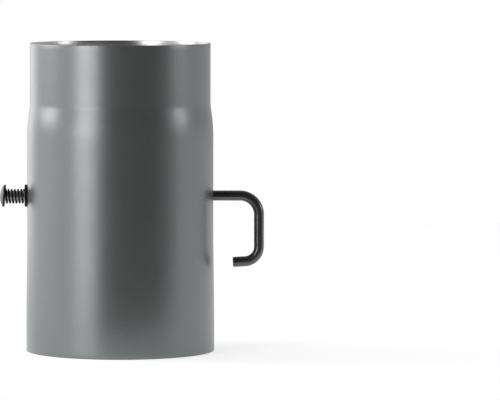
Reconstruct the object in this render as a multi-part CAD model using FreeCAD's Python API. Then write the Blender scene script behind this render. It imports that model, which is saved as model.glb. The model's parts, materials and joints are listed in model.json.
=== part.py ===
"""Stove pipe damper: a steel flue pipe with a blade on a turning rod.

The origin is on the pipe's axis at its bottom rim, +Z is up the flue and the rod runs along X.
The handle is at +X. It hangs down at rest, which puts the blade in line with the flue.
"""
import FreeCAD
import Part

import math
import os

V = FreeCAD.Vector
X_AXIS = V(1, 0, 0)
Y_AXIS = V(0, 1, 0)
Z_AXIS = V(0, 0, 1)

# Flue pipe: rolled sheet, widened a little at the bottom and necked in at the top
overall_length = 250.0
pipe_wall = 1.5
socket_bore_radius = 75.0
socket_length = 48.0
socket_widening = 0.9
socket_taper_length = 44.0
spigot_clearance = 1.75
spigot_length = 48.0
neck_length = 17.0
shoulder_bend_radius = 120.0
neck_bend_radius = 30.0

# Rod and handle: one bent round bar that passes through both walls
rod_radius = 4.0
rod_height = 126.0
rod_hole_clearance = 0.1
handle_reach = 37.2
handle_drop = 53.7
handle_return = 21.3
handle_upper_bend = 15.5
handle_lower_bend = 12.0
handle_return_slope = 3.0
rod_end_round = 1.0

# Blade: a disc with one side cut straight and a channel pressed across it for the rod
blade_thickness = 1.5
blade_clearance = 0.75
blade_cut_distance = 28.5
full_wing_lean = 20.0
cut_wing_lean = 7.5
wing_drop = 2.0
channel_lip_bend = 1.5
rod_seat_gap = 0.05

# Tack weld between the rod and the channel's lip
weld_radius = 2.8
weld_root_gap = 0.5
weld_offset = -2.5

# Washer, friction spring and push-on cap on the rod's short end
seat_gap = 0.05
washer_radius = 9.0
washer_bore_clearance = 0.25
washer_thickness = 2.0
spring_wire_radius = 0.7
spring_bore_clearance = 0.7
spring_sag = 0.5
spring_pitch = 2.6
spring_active_turns = 5.0
spring_closed_turns = 0.5
closed_coil_gap = 0.05
turning_gap = 0.55
cap_radius = 9.0
cap_sheet = 0.6
cap_dome_height = 2.6
cap_lip_width = 1.0
cap_tip_gap = 1.1
cap_tilt = 4.0
ring_thickness = 0.4
ring_fit = 0.05
ring_grip_gap = 0.06
tooth_count = 6
tooth_length = 1.4
tooth_rise = 0.7
tooth_slit_width = 0.9

# Sizes that follow from the ones above
body_bore_radius = socket_bore_radius - socket_widening
body_radius = body_bore_radius + pipe_wall
socket_radius = socket_bore_radius + pipe_wall
spigot_radius = socket_bore_radius - spigot_clearance
blade_radius = body_bore_radius - blade_clearance
channel_radius = rod_radius + rod_seat_gap
leg_x = body_radius + handle_reach
spring_coil_radius = rod_radius + spring_bore_clearance + spring_wire_radius
washer_top = seat_gap + washer_thickness
spring_bottom = washer_top + seat_gap
closed_pitch = 2 * spring_wire_radius + closed_coil_gap
closed_rises = [closed_pitch / 2] * round(2 * spring_closed_turns)
active_rises = [spring_pitch / 2] * round(2 * spring_active_turns)
spring_rises = closed_rises + active_rises + closed_rises
spring_top = spring_bottom + sum(spring_rises) + 2 * spring_wire_radius
ring_bottom = spring_top + turning_gap
cap_bottom = ring_bottom - ring_fit - cap_sheet
dome_base = ring_bottom + ring_thickness + ring_fit
rod_end_height = dome_base + cap_dome_height - cap_tip_gap


def arc(centre, radius, first, last):
    """Arc about centre between two unit directions, the short way round."""
    middle = (first + last).normalize()
    points = [centre + direction * radius for direction in (first, middle, last)]
    return Part.Arc(*points).toShape()


def line(start, end):
    return Part.LineSegment(start, end).toShape()


def solid_of_revolution(edges, centre, axis):
    """Solid turned from a closed outline."""
    face = Part.Face(Part.Wire(edges))
    return face.revolve(centre, axis, 360)


def bent_outline(corners):
    """Edges along (point, bend radius) corners, each inner corner rounded to its radius."""
    edges = []
    start = corners[0][0]
    for (before, _), (corner, radius), (after, _) in zip(corners, corners[1:], corners[2:]):
        back = (before - corner).normalize()
        ahead = (after - corner).normalize()
        half_turn = (math.pi - back.getAngle(ahead)) / 2
        tangent = radius * math.tan(half_turn)
        arc_start = corner + back * tangent
        arc_end = corner + ahead * tangent
        inwards = (back + ahead).normalize()
        centre = corner + inwards * (radius / math.cos(half_turn))
        edges.append(line(start, arc_start))
        edges.append(arc(centre, radius, (arc_start - centre).normalize(), (arc_end - centre).normalize()))
        start = arc_end
    edges.append(line(start, corners[-1][0]))
    return edges


def flue_pipe():
    """Pipe wall turned from its bent sheet section, with a hole for the rod on each side."""
    neck_turn = math.atan2(body_radius - spigot_radius, neck_length)
    neck_slope = math.hypot(body_radius - spigot_radius, neck_length)
    # both bends together use at most nine tenths of the sloping wall
    longest_bends = 0.9 * neck_slope / math.tan(neck_turn / 2)
    bend_share = min(1.0, longest_bends / (shoulder_bend_radius + neck_bend_radius))
    shoulder_bend = shoulder_bend_radius * bend_share
    neck_bend = neck_bend_radius * bend_share

    neck_top = overall_length - spigot_length - neck_bend * math.tan(neck_turn / 2)
    taper_top = socket_length + socket_taper_length
    outside = [line(V(socket_radius, 0, 0), V(socket_radius, 0, socket_length))]
    outside.append(line(V(socket_radius, 0, socket_length), V(body_radius, 0, taper_top)))
    outside += bent_outline([
        (V(body_radius, 0, taper_top), 0),
        (V(body_radius, 0, neck_top - neck_length), shoulder_bend),
        (V(spigot_radius, 0, neck_top), neck_bend),
        (V(spigot_radius, 0, overall_length), 0),
    ])

    taper_turn = math.atan2(socket_widening, socket_taper_length)
    # where two straight walls meet, the inner corner moves along by the wall times the half angle
    corner_shift = pipe_wall * math.tan(taper_turn / 2)
    neck_shift = pipe_wall * math.tan(neck_turn / 2)
    spigot_bore = spigot_radius - pipe_wall
    inner_taper_start = V(socket_bore_radius, 0, socket_length - corner_shift)
    inner_taper_end = V(body_bore_radius, 0, taper_top - corner_shift)
    inside = [line(V(socket_bore_radius, 0, 0), inner_taper_start)]
    inside.append(line(inner_taper_start, inner_taper_end))
    inside += bent_outline([
        (inner_taper_end, 0),
        (V(body_bore_radius, 0, neck_top - neck_length - neck_shift), shoulder_bend - pipe_wall),
        (V(spigot_bore, 0, neck_top - neck_shift), neck_bend + pipe_wall),
        (V(spigot_bore, 0, overall_length), 0),
    ])
    bottom_edge = line(V(socket_bore_radius, 0, 0), V(socket_radius, 0, 0))
    top_edge = line(V(spigot_radius, 0, overall_length), V(spigot_bore, 0, overall_length))
    section = Part.__sortEdges__(outside + inside + [bottom_edge, top_edge])
    pipe = solid_of_revolution(section, V(), Z_AXIS)

    drill_length = 4 * socket_radius
    drill_start = V(-drill_length / 2, 0, rod_height)
    drill = Part.makeCylinder(rod_radius + rod_hole_clearance, drill_length, drill_start, X_AXIS)
    return pipe.cut(drill)


def handle_rod():
    """Round bar from inside the cap, through the pipe, then bent down and back into the handle."""
    tail = V(-body_radius - rod_end_height, 0, rod_height)
    turn = math.radians(90 - handle_return_slope)
    upper_centre = V(leg_x - handle_upper_bend, 0, rod_height - handle_upper_bend)
    lower_centre = V(leg_x - handle_lower_bend, 0, rod_height - handle_drop + handle_lower_bend)
    leg_top = upper_centre + X_AXIS * handle_upper_bend
    leg_bottom = lower_centre + X_AXIS * handle_lower_bend
    bend_end_direction = V(math.cos(turn), 0, -math.sin(turn))
    return_start = lower_centre + bend_end_direction * handle_lower_bend
    return_direction = V(-math.sin(turn), 0, -math.cos(turn))
    straight = handle_return - (leg_x - return_start.x)
    return_end = return_start + return_direction * (straight / math.sin(turn))
    path = Part.Wire([
        line(tail, upper_centre + Z_AXIS * handle_upper_bend),
        arc(upper_centre, handle_upper_bend, V(0, 0, 1), V(1, 0, 0)),
        line(leg_top, leg_bottom),
        arc(lower_centre, handle_lower_bend, V(1, 0, 0), bend_end_direction),
        line(return_start, return_end),
    ])
    section = Part.Face(Part.Wire(Part.makeCircle(rod_radius, tail, X_AXIS)))
    bar = path.makePipe(section)
    ends = [edge for edge in bar.Edges if is_bar_end(edge, tail) or is_bar_end(edge, return_end)]
    return bar.makeFillet(rod_end_round, ends)


def is_bar_end(edge, centre):
    """True for the round edge of the bar about this centre."""
    return hasattr(edge.Curve, "Center") and edge.Curve.Center.distanceToPoint(centre) < rod_radius / 100


def wing(side, lean_degrees):
    """Section of one wing beside the rod: lip bend centre, directions along and out of the wing.

    The section lies across the rod, Y on the rod's side of the blade. side is -1 for the wing that
    hangs below the rod at rest and 1 for the one above. The last value is the height of the wing's
    middle plane over the rod axis, along the wing's own normal.
    """
    lean = math.radians(lean_degrees)
    along = V(0, -math.sin(lean), side * math.cos(lean))
    normal = V(0, math.cos(lean), side * math.sin(lean))
    lip = channel_lip_bend + blade_thickness / 2
    plane = -wing_drop * math.cos(lean)
    depth = plane - lip
    centre_distance = lip + channel_radius + blade_thickness / 2
    reach = math.sqrt(centre_distance ** 2 - depth ** 2)
    centre = along * reach + normal * depth
    return centre, along, normal, plane


def wing_edges(side, lean_degrees, length, face):
    """Wing tip to channel along one face of the sheet. face is 1 on the rod's side and -1 on the back."""
    centre, along, normal, plane = wing(side, lean_degrees)
    half = face * blade_thickness / 2
    lip = channel_lip_bend + blade_thickness / 2 + half
    towards_rod = (centre * -1).normalize()
    tip = along * length + normal * (plane + half)
    lip_start = centre + normal * lip
    edges = [line(tip, lip_start), arc(centre, lip, normal, towards_rod)]
    return edges, tip


def blade_face(face, full_length):
    """One face of the blade across the rod: wing, lip, channel under the rod, lip, wing."""
    lower, lower_tip = wing_edges(-1, full_wing_lean, full_length, face)
    upper, upper_tip = wing_edges(1, cut_wing_lean, blade_cut_distance, face)
    radius = channel_radius + blade_thickness / 2 - face * blade_thickness / 2
    lower_mouth = wing(-1, full_wing_lean)[0].normalize()
    upper_mouth = wing(1, cut_wing_lean)[0].normalize()
    channel = Part.Arc(lower_mouth * radius, Y_AXIS * -radius, upper_mouth * radius).toShape()
    return lower + [channel] + upper, lower_tip, upper_tip


def damper_blade():
    """Pressed sheet blade: its bent section carried along the rod and trimmed to a round outline."""
    past_outline = 1.1 * blade_radius
    front, front_lower, front_upper = blade_face(1, past_outline)
    back, back_lower, back_upper = blade_face(-1, past_outline)
    tips = [line(front_lower, back_lower), line(front_upper, back_upper)]
    section = Part.Face(Part.Wire(Part.__sortEdges__(front + back + tips)))
    section.translate(V(-past_outline, 0, rod_height))
    sheet = section.extrude(X_AXIS * (2 * past_outline))
    outline = Part.makeSphere(blade_radius, V(0, 0, rod_height))
    return sheet.common(outline)


def tack_weld(rod, blade):
    """Weld drop in the groove between the rod and the lip of the full wing."""
    lip_direction = wing(-1, full_wing_lean)[0].normalize()
    groove = lip_direction * rod_radius
    out_of_groove = V(0, -lip_direction.z, lip_direction.y)
    if out_of_groove.y < 0:
        out_of_groove = out_of_groove * -1
    centre = groove + out_of_groove * (weld_radius + weld_root_gap) + V(weld_offset, 0, rod_height)
    drop = Part.makeSphere(weld_radius, centre)
    return drop.cut(rod).cut(blade)


def onto_rod_end(shape, sag=0.0, tilt=0.0):
    """Turns a piece built up +Z from the pipe wall to stand out along -X about the rod.

    A tilt turns the cap and its ring about the middle of the teeth, the top towards the pipe.
    """
    shape.rotate(V(0, 0, ring_bottom + tooth_rise + ring_thickness / 2), Y_AXIS, tilt)
    shape.rotate(V(), Y_AXIS, -90)
    shape.translate(V(-body_radius, 0, rod_height - sag))
    return shape


def flat_washer():
    """Plain washer against the pipe wall."""
    outer = Part.makeCylinder(washer_radius, washer_thickness, V(0, 0, seat_gap))
    bore = Part.makeCylinder(rod_radius + washer_bore_clearance, 2 * washer_thickness)
    return onto_rod_end(outer.cut(bore))


def friction_spring():
    """Right-hand compression spring with closed end coils, hanging on the rod by its own slack.

    Each half turn is an arc that climbs from one side of the coil to the other. All the arcs meet
    level, so the wire runs on smoothly.
    """
    start = V(spring_coil_radius, 0, spring_bottom + spring_wire_radius)
    section = Part.Face(Part.Wire(Part.makeCircle(spring_wire_radius, start, Y_AXIS)))
    half_turns = []
    side = 1
    for rise in spring_rises:
        end = V(-start.x, 0, start.z + rise)
        reach = side * start.distanceToPoint(end) / 2
        middle = (start + end) * 0.5 + Y_AXIS * reach
        half_turns.append(Part.Arc(start, middle, end).toShape())
        start = end
        side = -side
    wire = Part.Wire(half_turns).makePipe(section)
    return onto_rod_end(wire, sag=spring_sag)


def end_cap():
    """Domed sheet cap with its rim rolled in under the toothed ring."""
    inner = cap_radius - cap_sheet
    inner_dome = (inner ** 2 + cap_dome_height ** 2) / (2 * cap_dome_height)
    outer_dome = inner_dome + cap_sheet
    dome_centre = V(0, 0, dome_base + cap_dome_height - inner_dome)
    inner_edge = V(inner, 0, dome_base)
    outer_edge = V(cap_radius, 0, dome_centre.z + math.sqrt(outer_dome ** 2 - cap_radius ** 2))
    inner_tip = dome_centre + Z_AXIS * inner_dome
    outer_tip = dome_centre + Z_AXIS * outer_dome
    lip_bore = inner - cap_lip_width
    lip_top = cap_bottom + cap_sheet
    edges = [
        line(inner_tip, outer_tip),
        arc(dome_centre, outer_dome, V(0, 0, 1), (outer_edge - dome_centre).normalize()),
        line(outer_edge, V(cap_radius, 0, cap_bottom)),
        line(V(cap_radius, 0, cap_bottom), V(lip_bore, 0, cap_bottom)),
        line(V(lip_bore, 0, cap_bottom), V(lip_bore, 0, lip_top)),
        line(V(lip_bore, 0, lip_top), V(inner, 0, lip_top)),
        line(V(inner, 0, lip_top), inner_edge),
        arc(dome_centre, inner_dome, (inner_edge - dome_centre).normalize(), V(0, 0, 1)),
    ]
    return onto_rod_end(solid_of_revolution(edges, V(), Z_AXIS), tilt=cap_tilt)


def push_on_ring():
    """Sprung ring inside the cap whose slit, dished teeth grip the rod."""
    bore = rod_radius + ring_grip_gap
    root = bore + tooth_length
    rim = cap_radius - cap_sheet - ring_fit
    ring_top = ring_bottom + ring_thickness
    corners = [
        V(rim, 0, ring_bottom),
        V(rim, 0, ring_top),
        V(root, 0, ring_top),
        V(bore, 0, ring_top + tooth_rise),
        V(bore, 0, ring_bottom + tooth_rise),
        V(root, 0, ring_bottom),
    ]
    edges = [line(start, end) for start, end in zip(corners, corners[1:] + corners[:1])]
    ring = solid_of_revolution(edges, V(), Z_AXIS)
    slit_height = 2 * (ring_thickness + tooth_rise)
    slit_corner = V(0, -tooth_slit_width / 2, ring_bottom - ring_thickness)
    slit = Part.makeBox(root, tooth_slit_width, slit_height, slit_corner)
    for tooth in range(tooth_count):
        cut = slit.copy()
        cut.rotate(V(), Z_AXIS, 360 * tooth / tooth_count)
        ring = ring.cut(cut)
    return onto_rod_end(ring, tilt=cap_tilt)


rod_piece = handle_rod()
blade_piece = damper_blade()
pieces = {
    "flue_pipe": flue_pipe(),
    "damper_blade": blade_piece,
    "handle_rod": rod_piece,
    "tack_weld": tack_weld(rod_piece, blade_piece),
    "flat_washer": flat_washer(),
    "friction_spring": friction_spring(),
    "end_cap": end_cap(),
    "push_on_ring": push_on_ring(),
}

os.makedirs("parts", exist_ok=True)
for name, shape in pieces.items():
    solids = shape.Solids
    whole = solids[0] if len(solids) == 1 else Part.makeCompound(solids)
    state = "valid" if whole.isValid() else "not valid"
    print(name, len(solids), "solid", round(whole.Volume, 2), "mm3", state)
    whole.exportStep("parts/" + name + ".step")
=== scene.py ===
import json

import bpy
import numpy as np
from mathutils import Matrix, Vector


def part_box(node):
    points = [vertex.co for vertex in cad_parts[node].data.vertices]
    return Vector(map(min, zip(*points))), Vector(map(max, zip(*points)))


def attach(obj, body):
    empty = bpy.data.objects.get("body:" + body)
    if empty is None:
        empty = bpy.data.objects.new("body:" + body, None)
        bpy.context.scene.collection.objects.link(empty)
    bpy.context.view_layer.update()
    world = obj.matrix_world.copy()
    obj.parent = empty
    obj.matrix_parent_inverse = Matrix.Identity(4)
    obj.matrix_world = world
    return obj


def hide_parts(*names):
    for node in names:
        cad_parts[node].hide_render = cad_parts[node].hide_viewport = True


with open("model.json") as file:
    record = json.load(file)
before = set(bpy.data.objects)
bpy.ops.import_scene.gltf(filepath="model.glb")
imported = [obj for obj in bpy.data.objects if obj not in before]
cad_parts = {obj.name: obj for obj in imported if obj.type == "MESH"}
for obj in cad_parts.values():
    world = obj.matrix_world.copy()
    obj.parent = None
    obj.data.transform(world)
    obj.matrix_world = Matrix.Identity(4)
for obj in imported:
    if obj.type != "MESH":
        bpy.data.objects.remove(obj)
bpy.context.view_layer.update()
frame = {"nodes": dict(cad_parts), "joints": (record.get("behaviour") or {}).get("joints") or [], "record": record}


# Flue pipe: steel sheet rolled and welded into a tube, necked in at the top for the next pipe.
# It is sprayed with grey heat paint outside and left bare inside, and both rims are plain cuts.
# The rod passes through a drilled hole on each side.
mm = 0.001
mounts = {mount["name"]: mount for mount in frame["record"]["mounts"]}
pipe_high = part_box("flue_pipe")[1]
pipe_length = pipe_high.z
socket_radius = pipe_high.x
pipe_wall = socket_radius - mounts["socket"]["dims"]["r_mm"] * mm
spigot_radius = mounts["spigot"]["dims"]["r_mm"] * mm
spigot_length = mounts["spigot"]["dims"]["length_mm"] * mm
body_radius = 75.6 * mm
flare_bottom = 20 * mm
flare_top = 110 * mm
neck_length = 17 * mm
shoulder_bend = 120 * mm
neck_bend = 30 * mm
rim_round = 0.3 * mm
rod_height = frame["joints"][0]["pos_m"][2]
rod_hole_radius = 4.1 * mm
bead_width = 5 * mm
bead_rise = 0.12 * mm
paint_metallic = 0.62


def pipe_outside(height):
    """Outside radius at a height: the socket, an eased taper, the body, then the neck.

    The neck leaves the body on an arc that curves in, runs straight, and meets the spigot on an arc
    that curves back. Both arcs are tangent to their neighbours.
    """
    step = body_radius - spigot_radius
    turn = np.arctan2(step, neck_length)
    neck_top = pipe_length - spigot_length - neck_bend * np.tan(turn / 2)
    neck_bottom = neck_top - neck_length
    shoulder_start = neck_bottom - shoulder_bend * np.tan(turn / 2)
    hollow_end = neck_top + neck_bend * np.tan(turn / 2)
    flare = np.clip((height - flare_bottom) / (flare_top - flare_bottom), 0, 1)
    lower = socket_radius - (socket_radius - body_radius) * flare**2 * (3 - 2 * flare)
    along_shoulder = np.clip(height - shoulder_start, 0, shoulder_bend * np.sin(turn))
    along_hollow = np.clip(hollow_end - height, 0, neck_bend * np.sin(turn))
    shoulder = body_radius - shoulder_bend + np.sqrt(shoulder_bend**2 - along_shoulder**2)
    slope = body_radius - (height - neck_bottom) * np.tan(turn)
    hollow = spigot_radius + neck_bend - np.sqrt(neck_bend**2 - along_hollow**2)
    on_shoulder = height < shoulder_start + shoulder_bend * np.sin(turn)
    on_slope = height < hollow_end - neck_bend * np.sin(turn)
    neck = np.where(on_shoulder, shoulder, np.where(on_slope, slope, hollow))
    return np.where(height < shoulder_start, lower, neck)


def grid_quads(rows, columns, close_rows, close_columns):
    """Quads between neighbouring points of a grid, the last row or column joined to the first if closed."""
    row = np.arange(rows if close_rows else rows - 1)[:, None]
    column = np.arange(columns if close_columns else columns - 1)[None, :]
    next_row = (row + 1) % rows
    next_column = (column + 1) % columns
    corners = [row * columns + column, row * columns + next_column,
               next_row * columns + next_column, next_row * columns + column]
    return np.stack(np.broadcast_arrays(*corners), axis=-1)


def new_piece(name, points, faces, sharp_angle=40):
    """Object at the origin from points in metres and lists of corners, shaded smooth up to an angle."""
    mesh = bpy.data.meshes.new(name)
    mesh.from_pydata(np.asarray(points).reshape(-1, 3).tolist(), [], faces)
    mesh.shade_smooth()
    mesh.set_sharp_from_angle(angle=np.radians(sharp_angle))
    mesh.validate()
    piece = bpy.data.objects.new(name, mesh)
    bpy.context.scene.collection.objects.link(piece)
    return piece


def pipe_surface():
    """Points of the pipe wall on a grid of section points by bearings, and its quads.

    The section runs up the outside, over the rounded top rim, down the inside at one wall's distance
    along the normal, and round the bottom rim. The lengthwise weld at the back is a low bead, ground flat
    on top and eased into the wall over half its width, on the outside alone. At each rod hole a square of
    grid cells is left out, its outline is drawn in to a circle, and the rings of points around it ease
    from circle to square.
    """
    cell = 1.0 * mm
    hole_cells = 4
    ease_cells = 12
    ladder = np.arange(-ease_cells, ease_cells + 1)
    above_rod = rod_height + (ease_cells + 1) * cell
    below_rod = rod_height - (ease_cells + 1) * cell
    heights = np.concatenate([
        np.linspace(rim_round, below_rod, 32),
        rod_height + ladder * cell,
        np.linspace(above_rod, pipe_length - 82 * mm, 10),
        np.linspace(pipe_length - 80 * mm, pipe_length - 44 * mm, 46),
        np.linspace(pipe_length - 42 * mm, pipe_length - rim_round, 12),
    ])
    radius = pipe_outside(heights)
    slope = np.gradient(radius, heights)
    normal = np.stack([np.ones_like(slope), -slope], axis=1) / np.hypot(1, slope)[:, None]
    outside = np.stack([radius, heights], axis=1)
    inside = (outside - pipe_wall * normal)[::-1]
    inside[:, 1] = np.clip(inside[:, 1], rim_round, pipe_length - rim_round)
    quarter = np.linspace(0, np.pi / 2, 5)
    corner = rim_round * np.stack([np.cos(quarter), np.sin(quarter)], axis=1)
    top_out = corner + [radius[-1] - rim_round, pipe_length - rim_round]
    top_in = corner[::-1] * [-1, 1] + [inside[0, 0] + rim_round, pipe_length - rim_round]
    low_in = corner * [-1, -1] + [inside[-1, 0] + rim_round, rim_round]
    low_out = corner[::-1] * [1, -1] + [radius[0] - rim_round, rim_round]
    section = np.concatenate([outside[:-1], top_out, top_in, inside[1:-1], low_in, low_out[:-1]])
    count = len(heights)

    fine = np.arcsin(cell / body_radius)
    near_hole = fine * ladder
    front = np.linspace(near_hole[-1], np.pi + near_hole[0], 86)[1:-1]
    seam = bead_width / 2 / body_radius
    back = np.concatenate([
        np.linspace(near_hole[-1], np.pi / 2 - seam, 43)[1:-1], np.pi / 2 + seam * np.linspace(-1, 1, 13),
        np.linspace(np.pi / 2 + seam, np.pi + near_hole[0], 43)[1:-1]])
    bearing = np.concatenate([near_hole, back, np.pi + near_hole, np.pi + front])
    radial = np.repeat(section[:, :1], len(bearing), axis=1)
    level = np.repeat(section[:, 1:], len(bearing), axis=1)
    angle = np.repeat(bearing[None, :], len(section), axis=0)

    rows = np.arange(len(section))
    rod_row_out = np.argmin(np.abs(heights - rod_height))
    first_inside = count - 1 + len(top_out) + len(top_in) - 1
    rod_row_in = first_inside + count - 1 - rod_row_out
    quads = grid_quads(len(section), len(bearing), True, True)
    keep = np.ones(quads.shape[:2], bool)
    bare = np.zeros(len(section))
    bare[count - 1 + len(top_out):len(section) - len(low_out) + 1] = 1
    bead = np.clip(2 - 2 * np.abs(bearing - np.pi / 2) / seam, 0, 1)
    radial += bead_rise * (1 - bare[:, None]) * bead**2 * (3 - 2 * bead)
    hole_walls = []
    for hole_bearing, middle in ((0, ease_cells), (np.pi, ease_cells + len(ladder) + len(back))):
        columns = np.arange(middle - ease_cells, middle + ease_cells + 1)
        across_cells = np.abs(columns - middle)
        outlines = []
        for rod_row in (rod_row_out, rod_row_in):
            band = rows[np.abs(rows - rod_row) <= ease_cells]
            up_cells = np.abs(band - rod_row)
            ring = np.maximum(up_cells[:, None], across_cells[None, :])
            ease = np.clip((ring - hole_cells) / (ease_cells - hole_cells), 0, 1)
            ease = ease**2 * (3 - 2 * ease)
            patch = np.ix_(band, columns)
            across = radial[patch] * np.sin(angle[patch] - hole_bearing)
            up = level[patch] - rod_height
            reach = np.maximum(np.hypot(across, up), 1e-9)
            eased = (1 - ease) * rod_hole_radius * ring / hole_cells + ease * reach
            angle[patch] = hole_bearing + np.arcsin(across * eased / reach / radial[patch])
            level[patch] = rod_height + up * eased / reach
            cells = slice(rod_row - hole_cells, rod_row + hole_cells)
            keep[cells, middle - hole_cells:middle + hole_cells] = False
            step = np.arange(-hole_cells, hole_cells)
            edge = np.full_like(step, hole_cells)
            way_up = 1 if rod_row == rod_row_out else -1
            walk_up = np.concatenate([-edge, step, edge, -step]) * way_up
            walk_across = np.concatenate([step, edge, -step, -edge])
            outlines.append((rod_row + walk_up) * len(bearing) + middle + walk_across)
        outer, inner = outlines
        hole_walls.append(np.stack([outer, np.roll(outer, -1), np.roll(inner, -1), inner], axis=1))
    points = np.stack([radial * np.cos(angle), radial * np.sin(angle), level], axis=-1)
    faces = np.concatenate([quads[keep], *hole_walls])
    return points, faces.tolist(), np.repeat(bare[:, None], len(bearing), axis=1)


def shader_group(name, inputs, outputs):
    """Empty shader node group with its named sockets; gives the tree and its two end nodes."""
    group = bpy.data.node_groups.new(name, "ShaderNodeTree")
    for way, sockets in (("INPUT", inputs), ("OUTPUT", outputs)):
        for label, kind in sockets.items():
            group.interface.new_socket(label, in_out=way, socket_type="NodeSocket" + kind)
    return group, group.nodes.new("NodeGroupInput"), group.nodes.new("NodeGroupOutput")


def add_node(tree, kind, settings=None, **values):
    """New node with its settings, and its sockets set by name, underscores standing for spaces."""
    node = tree.nodes.new("ShaderNode" + kind)
    for key, value in (settings or {}).items():
        setattr(node, key, value)
    for label, value in values.items():
        node.inputs[label.replace("_", " ")].default_value = value
    return node


def noise_mask(tree, vector, scale, low, high):
    """Noise between two levels stretched to run from 0 to 1. The scale is a number or a socket."""
    noise = add_node(tree, "TexNoise", Detail=3.0, Roughness=0.6)
    tree.links.new(vector, noise.inputs["Vector"])
    if isinstance(scale, float):
        noise.inputs["Scale"].default_value = scale
    else:
        tree.links.new(scale, noise.inputs["Scale"])
    mask = add_node(tree, "MapRange", From_Min=low, From_Max=high)
    tree.links.new(noise.outputs["Fac"], mask.inputs["Value"])
    return mask.outputs["Result"]


def mixed(tree, factor, first, second, kind="RGBA"):
    """Mix of two colours or two values, each a constant or a socket, by a factor socket."""
    mix = add_node(tree, "Mix", {"data_type": kind})
    ends = [socket for socket in mix.inputs if socket.enabled and socket.name in ("A", "B")]
    tree.links.new(factor, mix.inputs["Factor"])
    for socket, end in zip(ends, (first, second)):
        if isinstance(end, bpy.types.NodeSocket):
            tree.links.new(end, socket)
        else:
            socket.default_value = end
    return next(socket for socket in mix.outputs if socket.enabled)


def grey(level, red=1.0, blue=1.0):
    """Colour of a linear level, its red and blue a little off the green for a tint."""
    return (level * red, level, level * blue, 1.0)


def new_finish(name, metallic):
    """Material with a Principled shader, its node tree and its Object coordinates."""
    material = bpy.data.materials.new(name)
    material.use_nodes = True
    tree = material.node_tree
    shader = tree.nodes["Principled BSDF"]
    shader.inputs["Metallic"].default_value = metallic
    place = add_node(tree, "TexCoord").outputs["Object"]
    return material, tree, shader, place


def roughen(tree, shader, height, distance):
    """Feeds a height through a bump node into the shader's normal."""
    bump = add_node(tree, "Bump", Distance=distance, Strength=1.0)
    tree.links.new(height, bump.inputs["Height"])
    tree.links.new(bump.outputs["Normal"], shader.inputs["Normal"])


def spray_grain():
    """Sprayed paint: fine specks from the pigment, and a wider unevenness in how thick it lies."""
    group, ends, out = shader_group(
        "spray_grain", {"Vector": "Vector", "Speck Scale": "Float", "Lay Scale": "Float"},
        {"Speck": "Float", "Lay": "Float", "Height": "Float"})
    speck = noise_mask(group, ends.outputs["Vector"], ends.outputs["Speck Scale"], 0.3, 0.7)
    lay = noise_mask(group, ends.outputs["Vector"], ends.outputs["Lay Scale"], 0.3, 0.7)
    height = add_node(group, "Math", {"operation": "MULTIPLY_ADD"})
    height.inputs[1].default_value = 0.5
    group.links.new(speck, height.inputs[0])
    group.links.new(lay, height.inputs[2])
    group.links.new(speck, out.inputs["Speck"])
    group.links.new(lay, out.inputs["Lay"])
    group.links.new(height.outputs["Value"], out.inputs["Height"])
    return group


def rolled_lines():
    """Cold rolled sheet: thin lines along the rolling direction, and soft cloudy patches of mill oil."""
    group, ends, out = shader_group(
        "rolled_lines", {"Vector": "Vector", "Line Scale": "Float"}, {"Line": "Float", "Cloud": "Float"})
    line = noise_mask(group, ends.outputs["Vector"], ends.outputs["Line Scale"], 0.25, 0.75)
    cloud = noise_mask(group, ends.outputs["Vector"], 18.0, 0.3, 0.7)
    group.links.new(line, out.inputs["Line"])
    group.links.new(cloud, out.inputs["Cloud"])
    return group


def place_group(tree, group, vector, **values):
    """Places a node group in a material, with its vector linked and its other inputs set."""
    node = add_node(tree, "Group", {"node_tree": group}, **values)
    tree.links.new(vector, node.inputs["Vector"])
    return node


grain_group = spray_grain()
lines_group = rolled_lines()


def pipe_finish():
    """Grey metallic heat paint outside, bare rolled steel inside, told apart by the bare attribute."""
    material, tree, shader, place = new_finish("grey_heat_paint", paint_metallic)
    grain = place_group(tree, grain_group, place, Speck_Scale=1500.0, Lay_Scale=40.0)
    paint = mixed(tree, grain.outputs["Speck"], grey(0.235, 0.95, 1.01), grey(0.28, 0.95, 1.01))
    paint_rough = mixed(tree, grain.outputs["Lay"], 0.31, 0.35, "FLOAT")
    # the sheet was rolled round the pipe, so its lines run level
    level = add_node(tree, "Mapping", Scale=(0.05, 0.05, 1.0))
    tree.links.new(place, level.inputs["Vector"])
    lines = place_group(tree, lines_group, level.outputs["Vector"], Line_Scale=900.0)
    steel = mixed(tree, lines.outputs["Line"], grey(0.50), grey(0.60))
    steel_rough = mixed(tree, lines.outputs["Cloud"], 0.22, 0.32, "FLOAT")
    bare = add_node(tree, "Attribute", {"attribute_name": "bare"}).outputs["Fac"]
    tree.links.new(mixed(tree, bare, paint, steel), shader.inputs["Base Color"])
    tree.links.new(mixed(tree, bare, paint_metallic, 1.0, "FLOAT"), shader.inputs["Metallic"])
    tree.links.new(mixed(tree, bare, paint_rough, steel_rough, "FLOAT"), shader.inputs["Roughness"])
    height = mixed(tree, bare, grain.outputs["Height"], lines.outputs["Line"], "FLOAT")
    roughen(tree, shader, height, 0.02 * mm)
    return material


pipe_points, pipe_faces, pipe_bare = pipe_surface()
pipe = new_piece("stove_pipe", pipe_points, pipe_faces)
bare_mark = pipe.data.attributes.new("bare", "FLOAT", "POINT")
bare_mark.data.foreach_set("value", pipe_bare.ravel().astype(np.float32))
pipe.data.materials.append(pipe_finish())
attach(pipe, "pipe")
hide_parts("flue_pipe")


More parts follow.
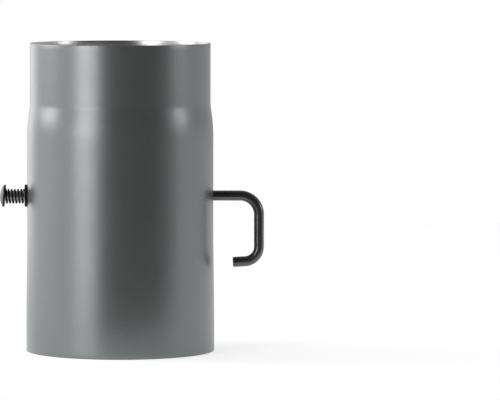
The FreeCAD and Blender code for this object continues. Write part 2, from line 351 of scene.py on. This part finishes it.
# Damper blade: pressed sheet with a channel for the rod, one side cut straight, left bare.
# It turns with the rod, which lies in the channel and is tacked to its lip.
def blade_finish():
    """Bare rolled sheet, its lines along the rod."""
    material, tree, shader, place = new_finish("bare_sheet_steel", 1.0)
    along_rod = add_node(tree, "Mapping", Scale=(0.05, 1.0, 1.0))
    tree.links.new(place, along_rod.inputs["Vector"])
    lines = place_group(tree, lines_group, along_rod.outputs["Vector"], Line_Scale=900.0)
    tree.links.new(mixed(tree, lines.outputs["Line"], grey(0.40), grey(0.50)), shader.inputs["Base Color"])
    tree.links.new(mixed(tree, lines.outputs["Cloud"], 0.24, 0.34, "FLOAT"), shader.inputs["Roughness"])
    roughen(tree, shader, lines.outputs["Line"], 0.02 * mm)
    return material


blade = frame["nodes"]["damper_blade"]
blade.data.materials.clear()
blade.data.materials.append(blade_finish())


# Handle rod: one 8 mm round bar through both walls, bent down and back outside into a hook handle.
# The bar is left bright inside the pipe and under the spring, and the handle is dipped in black paint.
rod_low, rod_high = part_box("handle_rod")
rod_radius = 4.0 * mm
leg_x = rod_high.x - rod_radius
upper_bend = 15.5 * mm
lower_bend = 12.0 * mm
handle_drop = 53.7 * mm
handle_return = 21.3 * mm
return_slope = np.radians(3.0)
end_round = 1.0 * mm
paint_layer = 0.2 * mm


def rod_path():
    """Centre line of the bar and its directions: straight, quarter bend down, straight, bend back, straight.

    Every run is sampled by its own parameter. A bend turns the direction evenly from its start to its end.
    """
    turn = np.pi / 2 - return_slope
    first = np.linspace(0, np.pi / 2, 33)
    second = np.pi / 2 + np.linspace(0, turn, 33)
    upper_centre = np.array([leg_x - upper_bend, rod_height - upper_bend])
    lower_centre = np.array([leg_x - lower_bend, rod_height - handle_drop + lower_bend])
    upper = upper_centre + upper_bend * np.stack([np.sin(first), np.cos(first)], axis=1)
    lower = lower_centre + lower_bend * np.stack([np.sin(second), np.cos(second)], axis=1)
    tail = np.array([rod_low.x, rod_height])
    direction_out = np.array([np.cos(second[-1]), -np.sin(second[-1])])
    out_length = (handle_return - (leg_x - lower[-1, 0])) / -direction_out[0]
    tip = lower[-1] + direction_out * out_length
    ease = end_round * (1 - np.cos(np.linspace(0, np.pi / 2, 7)))
    run_in = np.concatenate([tail[0] + ease, np.linspace(tail[0] + 2 * end_round, upper[0, 0], 40)[:-1]])
    straight_in = np.stack([run_in, np.full_like(run_in, rod_height)], axis=1)
    leg = np.linspace(upper[-1], lower[0], 12)[1:-1]
    run_out = np.concatenate([np.linspace(0, out_length - 2 * end_round, 8)[1:], out_length - ease[::-1]])
    straight_out = lower[-1] + run_out[:, None] * direction_out
    centre = np.concatenate([straight_in, upper, leg, lower, straight_out])
    turned = np.concatenate([
        np.zeros(len(straight_in)), first, np.full(len(leg), np.pi / 2), second,
        np.full(len(straight_out), second[-1])])
    # the ends are rounded over, so the bar's radius there follows a quarter circle
    from_end = np.minimum(np.linalg.norm(centre - tail, axis=1), np.linalg.norm(centre - tip, axis=1))
    inset = np.clip(end_round - from_end, 0, end_round)
    radius = rod_radius - end_round + np.sqrt(end_round**2 - inset**2)
    painted = np.clip((centre[:, 0] - body_radius) / mm, 0, 1)
    return centre, turned, radius + paint_layer * painted


def rod_surface():
    """Tube of the bar: round each centre point, a circle across the bar's direction, ends closed."""
    centre, turned, radius = rod_path()
    around = np.linspace(0, 2 * np.pi, 48, endpoint=False)
    outwards = np.stack([np.sin(turned), np.cos(turned)], axis=1)
    reach = radius[:, None] * np.cos(around)
    in_plane = centre[:, None, :] + reach[:, :, None] * outwards[:, None, :]
    across = radius[:, None] * np.sin(around)[None, :]
    points = np.stack([in_plane[..., 0], across, in_plane[..., 1]], axis=-1)
    faces = grid_quads(len(centre), len(around), False, True)[..., ::-1].reshape(-1, 4).tolist()
    last_ring = (len(centre) - 1) * len(around)
    faces.append(list(range(len(around))))
    faces.append(list(range(last_ring + len(around) - 1, last_ring - 1, -1)))
    return points, faces


def handle_finish():
    """Glossy black paint on the handle, bright drawn bar from the pipe's wall to the cap."""
    material, tree, shader, place = new_finish("black_handle_paint", 0.0)
    grain = place_group(tree, grain_group, place, Speck_Scale=1800.0, Lay_Scale=90.0)
    split = add_node(tree, "SeparateXYZ")
    tree.links.new(place, split.inputs["Vector"])
    bright = add_node(
        tree, "MapRange", From_Min=body_radius - 2 * mm, From_Max=body_radius - mm, To_Min=1.0, To_Max=0.0)
    tree.links.new(split.outputs["X"], bright.inputs["Value"])
    bare = bright.outputs["Result"]
    paint = mixed(tree, grain.outputs["Speck"], grey(0.03), grey(0.045))
    steel = mixed(tree, grain.outputs["Speck"], grey(0.62), grey(0.74))
    tree.links.new(mixed(tree, bare, paint, steel), shader.inputs["Base Color"])
    paint_rough = mixed(tree, grain.outputs["Lay"], 0.28, 0.34, "FLOAT")
    steel_rough = mixed(tree, grain.outputs["Lay"], 0.34, 0.42, "FLOAT")
    tree.links.new(mixed(tree, bare, paint_rough, steel_rough, "FLOAT"), shader.inputs["Roughness"])
    tree.links.new(mixed(tree, bare, 0.0, 0.45, "FLOAT"), shader.inputs["Metallic"])
    gloss = add_node(tree, "Math", {"operation": "SUBTRACT"})
    gloss.inputs[0].default_value = 1.0
    tree.links.new(bare, gloss.inputs[1])
    tree.links.new(gloss.outputs["Value"], shader.inputs["Coat Weight"])
    shader.inputs["Coat Roughness"].default_value = 0.22
    shader.inputs["Coat IOR"].default_value = 1.8
    shader.inputs["Specular IOR Level"].default_value = 0.3
    roughen(tree, shader, grain.outputs["Height"], 0.01 * mm)
    return material


rod_points, rod_faces = rod_surface()
rod = new_piece("rod_and_handle", rod_points, rod_faces)
rod.data.materials.append(handle_finish())
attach(rod, "damper")
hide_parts("handle_rod")


# Tack weld: one drop of weld in the groove between the rod and the channel's lip, at mid length.
# It is left as it cooled, and holds the blade to the rod so that both turn together.
def weld_finish():
    """Weld metal as it cooled: bright tops, and a darker tint in the ripples."""
    material, tree, shader, place = new_finish("weld_metal", 1.0)
    tint = noise_mask(tree, place, 700.0, 0.35, 0.65)
    tree.links.new(mixed(tree, tint, grey(0.30, 1.05, 0.95), grey(0.62)), shader.inputs["Base Color"])
    tree.links.new(mixed(tree, tint, 0.42, 0.2, "FLOAT"), shader.inputs["Roughness"])
    roughen(tree, shader, tint, 0.1 * mm)
    return material


weld = frame["nodes"]["tack_weld"]
weld.data.materials.clear()
weld.data.materials.append(weld_finish())


# Flat washer: a stamped and blackened steel washer between the pipe wall and the spring.
# Stamping rounds the edges of the face that turns away from the wall.
washer_radius = 9.0 * mm
washer_bore = 4.25 * mm
washer_bottom = 0.05 * mm
washer_top = 2.05 * mm


def rounded_outline(corners):
    """Closed outline through corners of (distance from the wall, radius, rounding).

    Each corner becomes a parabola that starts and ends the rounding's length before and after it.
    """
    corners = np.array(corners)
    point = corners[:, :2]
    rounding = corners[:, 2:]
    back = np.roll(point, 1, axis=0) - point
    ahead = np.roll(point, -1, axis=0) - point
    start = point + rounding * back / np.linalg.norm(back, axis=1, keepdims=True)
    end = point + rounding * ahead / np.linalg.norm(ahead, axis=1, keepdims=True)
    step = np.linspace(0, 1, 6)[None, :, None]
    curve = (1 - step)**2 * start[:, None] + 2 * step * (1 - step) * point[:, None] + step**2 * end[:, None]
    return curve.reshape(-1, 2)


def turned_on_rod(outline, tilt=0.0, pivot=0.0):
    """Outline of (distance from the wall, radius) points turned about the rod on a grid of points by angles.

    A tilt turns the piece in the upright plane about a pivot distance on the rod, its top towards the pipe.
    """
    around = np.linspace(0, 2 * np.pi, 96, endpoint=False)
    out = outline[:, :1] - pivot + 0 * around
    up = outline[:, 1:] * np.cos(around)
    side = outline[:, 1:] * np.sin(around)
    tilted_out = out * np.cos(tilt) - up * np.sin(tilt)
    tilted_up = out * np.sin(tilt) + up * np.cos(tilt)
    return np.stack([-body_radius - pivot - tilted_out, side, rod_height + tilted_up], axis=-1)


def small_part_finish(name, metallic, level, rough_low, rough_high, specular=0.5):
    """Blackened or bare steel in fine grain under an oily film that lies unevenly."""
    material, tree, shader, place = new_finish(name, metallic)
    shader.inputs["Specular IOR Level"].default_value = specular
    grain = place_group(tree, grain_group, place, Speck_Scale=2600.0, Lay_Scale=220.0)
    colour = mixed(tree, grain.outputs["Speck"], grey(level * 0.75), grey(level * 1.3))
    tree.links.new(colour, shader.inputs["Base Color"])
    rough = mixed(tree, grain.outputs["Lay"], rough_low, rough_high, "FLOAT")
    tree.links.new(rough, shader.inputs["Roughness"])
    roughen(tree, shader, grain.outputs["Height"], 0.01 * mm)
    return material


washer_outline = rounded_outline([
    (washer_bottom, washer_bore, 0.05 * mm), (washer_bottom, washer_radius, 0.08 * mm),
    (washer_top, washer_radius, 0.35 * mm), (washer_top, washer_bore, 0.2 * mm)])
washer_points = turned_on_rod(washer_outline)
washer_quads = grid_quads(*washer_points.shape[:2], True, True).reshape(-1, 4)
washer = new_piece("washer", washer_points, washer_quads.tolist())
washer.data.materials.append(small_part_finish("black_washer", 0.0, 0.008, 0.5, 0.6, 0.25))
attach(washer, "pipe")
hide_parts("flat_washer")


# Friction spring: coiled from black wire with its end turns closed, pressed between the washer and the cap.
# It hangs on the rod by its own slack, so it sits a little low.
spring_wire = 0.7 * mm
spring_coil = 5.4 * mm
spring_sag = 0.5 * mm
spring_start = 2.8 * mm
closed_rise = 0.725 * mm
open_rise = 1.3 * mm
open_half_turns = 10


def spring_surface():
    """Wire swept along a helix: a circle across the wire at every angle, flat at both ends.

    The wire climbs evenly by half turns, less in the first and the last, and its angle runs from the top
    to the back first.
    """
    rises = np.concatenate([[closed_rise], np.full(open_half_turns, open_rise), [closed_rise]])
    knots = np.pi * np.arange(len(rises) + 1)
    angle = np.linspace(0, knots[-1], 24 * len(rises) + 1)
    distance = spring_start + np.interp(angle, knots, np.concatenate([[0], np.cumsum(rises)]))
    smooth = np.ones(13) / 13
    distance[6:-6] = np.convolve(distance, smooth, mode="valid")
    outward = np.stack([0 * angle, np.sin(angle), np.cos(angle)], axis=1)
    centre = spring_coil * outward + [-body_radius, 0, rod_height - spring_sag]
    centre[:, 0] -= distance
    along = np.gradient(centre, axis=0)
    along /= np.linalg.norm(along, axis=1, keepdims=True)
    across = np.cross(along, outward)
    around = np.linspace(0, 2 * np.pi, 20, endpoint=False)[None, :, None]
    rim = np.cos(around) * outward[:, None] + np.sin(around) * across[:, None]
    points = centre[:, None] + spring_wire * rim
    faces = grid_quads(*points.shape[:2], False, True).reshape(-1, 4).tolist()
    count = points.shape[1]
    last = (len(points) - 1) * count
    faces.append(list(range(count - 1, -1, -1)))
    faces.append(list(range(last, last + count)))
    return points, faces


spring = new_piece("coil_spring", *spring_surface())
spring.data.materials.append(small_part_finish("black_wire", 0.0, 0.005, 0.45, 0.55, 0.25))
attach(spring, "pipe")
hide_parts("friction_spring")


# Push-on ring: a hardened spring steel ring inside the cap, stamped and slit into teeth.
# The teeth grip the rod and so keep the cap on against the spring.
ring = frame["nodes"]["push_on_ring"]
ring.data.materials.clear()
ring.data.materials.append(small_part_finish("spring_steel", 1.0, 0.3, 0.25, 0.35))


# End cap: a domed sheet cap with its rim rolled in under the toothed ring, pushed on the rod by hand.
# It sits a little askew, as the ring's teeth let it. Its grey metal dome is a painted sheen and its black rim is
# painted shade, for the light the dome catches and the dark the rim mirrors.
cap_radius = 9.0 * mm
cap_sheet = 0.6 * mm
cap_bottom = 17.85 * mm
cap_shoulder = 19.26 * mm
cap_tip = 22.15 * mm
cap_lip_bore = 7.4 * mm
cap_tilt = np.radians(4.0)
cap_pivot = 19.4 * mm


def cap_surface():
    """Cap turned about the rod: the dome's arc from its tip, the rolled rim, the lip, and the arc inside.

    Both arcs end on the rod's axis in one point each. The dome's arc is marked for its painted sheen.
    """
    dome_height = cap_tip - cap_shoulder
    dome_radius = (cap_radius**2 + dome_height**2) / (2 * dome_height)
    dome_centre = cap_tip - dome_radius
    sweep = np.arcsin((cap_radius - 0.2 * mm) / dome_radius) * np.linspace(0.04, 1, 24)
    outer = np.stack([dome_centre + dome_radius * np.cos(sweep), dome_radius * np.sin(sweep)], axis=1)
    inner_radius = dome_radius - cap_sheet
    sweep_in = np.arcsin((cap_radius - 1.2 * cap_sheet) / inner_radius) * np.linspace(1, 0.04, 12)
    inner = np.stack([dome_centre + inner_radius * np.cos(sweep_in), inner_radius * np.sin(sweep_in)], axis=1)
    rim = rounded_outline([
        (cap_shoulder, cap_radius, 0.15 * mm), (cap_bottom, cap_radius, 0.5 * mm),
        (cap_bottom, cap_lip_bore, 0.1 * mm), (cap_bottom + cap_sheet, cap_lip_bore, 0.1 * mm),
        (cap_bottom + cap_sheet, cap_radius - cap_sheet, 0.1 * mm)])
    outline = np.concatenate([outer, rim, inner])
    poles = np.array([[cap_tip, 0], [cap_tip - cap_sheet, 0]])
    points = turned_on_rod(outline, cap_tilt, cap_pivot)
    tips = turned_on_rod(poles, cap_tilt, cap_pivot)[:, 0]
    rings, count = points.shape[:2]
    faces = grid_quads(rings, count, False, True)[..., ::-1].reshape(-1, 4).tolist()
    turn = np.arange(count)
    first_fan = np.stack([np.full(count, rings * count), turn, np.roll(turn, -1)], axis=1)
    last_ring = (rings - 1) * count
    last_turn = last_ring + turn
    last_fan = np.stack([np.full(count, rings * count + 1), np.roll(last_turn, -1), last_turn], axis=1)
    faces += first_fan.tolist() + last_fan.tolist()
    # the dome's rows take the painted sheen, the rim and the inside take the painted shade
    rubbed = np.concatenate([np.repeat(np.arange(rings) < len(outer), count), [True, False]])
    return np.concatenate([points.reshape(-1, 3), tips]), faces, rubbed


def cap_finish():
    """Black rim as painted shade and a grey metal dome as a painted sheen, told apart by the dome's mask
    attribute.
    """
    material, tree, shader, place = new_finish("black_cap", 0.0)
    shader.inputs["Specular IOR Level"].default_value = 0.25
    grain = place_group(tree, grain_group, place, Speck_Scale=2600.0, Lay_Scale=220.0)
    rubbed = add_node(tree, "Attribute", {"attribute_name": "rubbed"}).outputs["Fac"]
    # painted shade: the rim is black for the dark it mirrors; painted sheen: the dome is grey metal for the light
    # it catches
    black = mixed(tree, grain.outputs["Speck"], grey(0.008), grey(0.014))
    metal = mixed(tree, grain.outputs["Speck"], grey(0.14), grey(0.2))
    tree.links.new(mixed(tree, rubbed, black, metal), shader.inputs["Base Color"])
    tree.links.new(rubbed, shader.inputs["Metallic"])
    tree.links.new(mixed(tree, grain.outputs["Lay"], 0.42, 0.52, "FLOAT"), shader.inputs["Roughness"])
    roughen(tree, shader, grain.outputs["Height"], 0.01 * mm)
    return material


cap_points, cap_faces, cap_painted_sheen = cap_surface()
cap = new_piece("domed_cap", cap_points, cap_faces)
# the dome's mask for its painted sheen
sheen_mark = cap.data.attributes.new("rubbed", "FLOAT", "POINT")
sheen_mark.data.foreach_set("value", cap_painted_sheen.astype(np.float32))
cap.data.materials.append(cap_finish())
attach(cap, "damper")
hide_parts("end_cap")


# Studio: a pale floor, soft lights at the front left, the left and behind it, and one at the right.
# The floor and the world show white to the camera, and the floor still takes the soft shadow.
floor_glow = 0.7
floor_front = -0.2
floor_back = 1.4
floor_half_width = 2.0


def floor_finish():
    """White floor: plain diffuse that takes the shadow, topped up to white where it is seen or mirrored."""
    material = bpy.data.materials.new("studio_floor")
    material.use_nodes = True
    tree = material.node_tree
    tree.nodes.clear()
    light_path = add_node(tree, "LightPath")
    direct = add_node(tree, "Math", {"operation": "MAXIMUM"})
    tree.links.new(light_path.outputs["Is Camera Ray"], direct.inputs[0])
    tree.links.new(light_path.outputs["Is Transmission Ray"], direct.inputs[1])
    seen = add_node(tree, "Math", {"operation": "MAXIMUM"})
    tree.links.new(direct.outputs["Value"], seen.inputs[0])
    tree.links.new(light_path.outputs["Is Glossy Ray"], seen.inputs[1])
    strength = add_node(tree, "Math", {"operation": "MULTIPLY"})
    strength.inputs[1].default_value = floor_glow
    tree.links.new(seen.outputs["Value"], strength.inputs[0])
    glow = add_node(tree, "Emission", Color=grey(1.0))
    tree.links.new(strength.outputs["Value"], glow.inputs["Strength"])
    matt = add_node(tree, "BsdfDiffuse", Color=grey(0.8))
    both = add_node(tree, "AddShader")
    tree.links.new(glow.outputs["Emission"], both.inputs[0])
    tree.links.new(matt.outputs["BSDF"], both.inputs[1])
    output = add_node(tree, "OutputMaterial")
    tree.links.new(both.outputs["Shader"], output.inputs["Surface"])
    return material


floor_corners = [(-floor_half_width, floor_front, 0), (floor_half_width, floor_front, 0),
                 (floor_half_width, floor_back, 0), (-floor_half_width, floor_back, 0)]
floor = new_piece("studio_floor", floor_corners, [[0, 1, 2, 3]])
floor.data.materials.append(floor_finish())


def soft_light(name, bearing, distance, height, width, tall, radiance):
    """Rectangular area light facing the pipe's axis.

    The bearing is in degrees from the camera's side, right positive.
    """
    light = bpy.data.lights.new(name, "AREA")
    light.shape = "RECTANGLE"
    light.size = width
    light.size_y = tall
    light.energy = radiance * np.pi * width * tall
    lamp = bpy.data.objects.new(name, light)
    turn = np.radians(bearing)
    lamp.location = (distance * np.sin(turn), -distance * np.cos(turn), height)
    lamp.rotation_euler = (np.pi / 2, 0, turn)
    bpy.context.scene.collection.objects.link(lamp)


soft_light("key_softbox", -42, 1.6, 0.4, 0.7, 0.8, 3.5)
soft_light("left_softbox", -102, 1.6, 0.7, 0.8, 0.6, 6.0)
soft_light("back_left_softbox", -145, 1.6, 0.4, 0.8, 0.8, 1.2)
soft_light("right_softbox", 80, 1.6, 0.6, 0.5, 0.5, 3.0)


def studio_world():
    """Studio seen by bearing: white at the left and behind, greyer at the right, dark at the camera's side.

    It dims overhead to a part of the walls' level. The camera sees plain white all round.
    """
    world = bpy.data.worlds.new("studio")
    bpy.context.scene.world = world
    world.use_nodes = True
    tree = world.node_tree
    tree.nodes.clear()
    direction = add_node(tree, "TexCoord").outputs["Generated"]
    radial = add_node(tree, "TexGradient", {"gradient_type": "RADIAL"})
    tree.links.new(direction, radial.inputs["Vector"])
    room = add_node(tree, "ValToRGB")
    tree.links.new(radial.outputs["Fac"], room.inputs["Fac"])
    ramp = room.color_ramp
    ramp.interpolation = "LINEAR"
    # levels at bearings from the camera's side, right positive
    brightness = {-90: 1.0, -50: 1.0, -20: 0.1, 50: 0.1, 80: 0.7, 180: 0.7, 220: 1.0, 270: 1.0}
    ceiling_share = 0.4
    brightest = max(brightness.values())
    for index, (bearing, level) in enumerate(brightness.items()):
        position = (bearing + 90) / 360
        element = ramp.elements[index] if index < 2 else ramp.elements.new(position)
        element.position = position
        element.color = grey(level / brightest)
    split = add_node(tree, "SeparateXYZ")
    tree.links.new(direction, split.inputs["Vector"])
    overhead = add_node(
        tree, "MapRange", From_Min=0.08, From_Max=0.4, To_Min=brightest, To_Max=ceiling_share * brightest)
    tree.links.new(split.outputs["Z"], overhead.inputs["Value"])
    seen_room = add_node(tree, "Background")
    tree.links.new(room.outputs["Color"], seen_room.inputs["Color"])
    tree.links.new(overhead.outputs["Result"], seen_room.inputs["Strength"])
    white = add_node(tree, "Background", Color=grey(1.0), Strength=1.0)
    light_path = add_node(tree, "LightPath")
    direct = add_node(tree, "Math", {"operation": "MAXIMUM"})
    tree.links.new(light_path.outputs["Is Camera Ray"], direct.inputs[0])
    tree.links.new(light_path.outputs["Is Transmission Ray"], direct.inputs[1])
    by_camera = add_node(tree, "MixShader")
    tree.links.new(direct.outputs["Value"], by_camera.inputs["Fac"])
    tree.links.new(seen_room.outputs["Background"], by_camera.inputs[1])
    tree.links.new(white.outputs["Background"], by_camera.inputs[2])
    output = add_node(tree, "OutputWorld")
    tree.links.new(by_camera.outputs["Shader"], output.inputs["Surface"])


studio_world()
bpy.context.scene.view_settings.view_transform = "Standard"


# Camera: a long lens in front of the pipe and a little above it.
# It is aimed right of the pipe, as in the photograph, and turned by a small roll.
photo_width_px = 500
pipe_axis_px = 120.58
focal_px = 4027
camera_distance = 3.268
camera_height = 0.346
aim_height = 0.1225
camera_roll = -0.11
camera_data = bpy.data.cameras.new("photo_camera")
camera_data.sensor_width = 36.0
camera_data.lens = camera_data.sensor_width * focal_px / photo_width_px
camera = bpy.data.objects.new("photo_camera", camera_data)
bpy.context.scene.collection.objects.link(camera)
camera.location = (0, -camera_distance, camera_height)
pan = np.arctan((photo_width_px / 2 - pipe_axis_px) / focal_px)
tilt_down = np.arctan((camera_height - aim_height) / camera_distance)
camera.rotation_euler = (np.pi / 2 - tilt_down, np.radians(camera_roll), -pan)
bpy.context.scene.camera = camera
